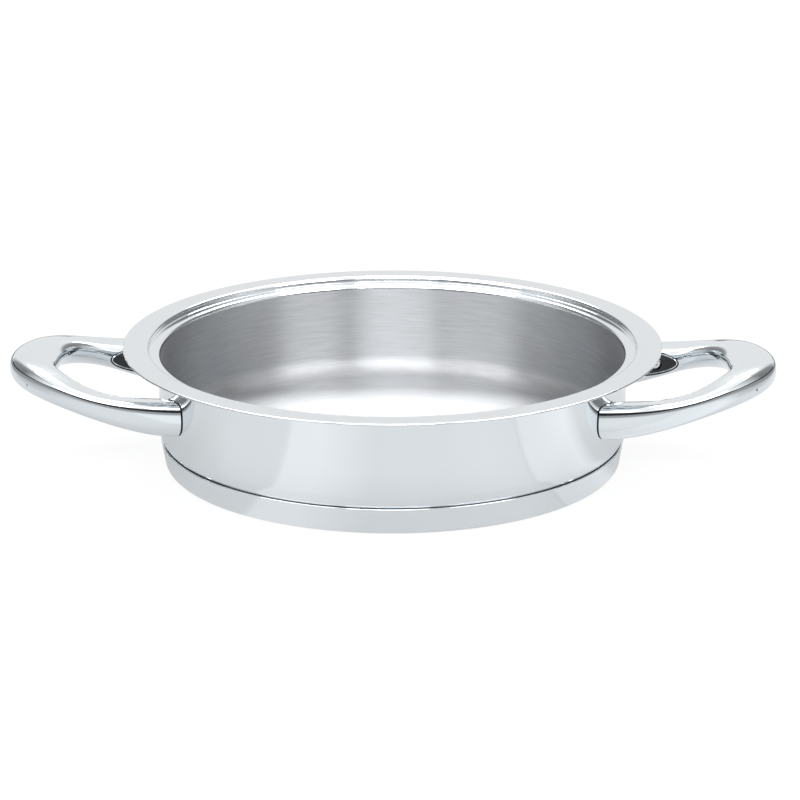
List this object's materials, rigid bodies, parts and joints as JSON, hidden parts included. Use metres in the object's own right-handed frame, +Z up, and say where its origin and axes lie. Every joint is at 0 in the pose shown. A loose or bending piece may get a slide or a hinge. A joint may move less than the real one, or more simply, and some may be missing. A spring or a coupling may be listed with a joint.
{
  "type": "cooking pot",
  "caption": "Low wide stainless cooking pot with a flat flange, recessed lid seat, thick capsule base and hollow loop handles held by black heat-resistant inserts.",
  "frame": {"origin": "centre of the base's underside, on the surface that the pot stands on", "axes": "+X to the right handle, +Y to the rear, +Z up"},
  "size_m": [0.3796, 0.266, 0.0606],
  "materials": {
    "vessel_steel": "mirror polished outside, satin inside",
    "base_steel": "mirror polished",
    "handle_steel": "mirror polished",
    "core_aluminium": "plain",
    "black_phenolic": "satin black",
    "bracket_steel": "satin",
    "fastener_steel": "bright"
  },
  "bodies": {
    "root": {"vessel": "vessel_steel", "heat_spreader": "core_aluminium", "base_capsule": "base_steel", "right_handle_shell": "handle_steel", "left_handle_shell": "handle_steel", "right_front_insulator": "black_phenolic", "right_front_bracket": "bracket_steel", "right_front_screw": "fastener_steel", "right_front_washer": "fastener_steel", "right_rear_insulator": "black_phenolic", "right_rear_bracket": "bracket_steel", "right_rear_screw": "fastener_steel", "right_rear_washer": "fastener_steel", "left_front_insulator": "black_phenolic", "left_front_bracket": "bracket_steel", "left_front_screw": "fastener_steel", "left_front_washer": "fastener_steel", "left_rear_insulator": "black_phenolic", "left_rear_bracket": "bracket_steel", "left_rear_screw": "fastener_steel", "left_rear_washer": "fastener_steel"}
  },
  "joints": []
}
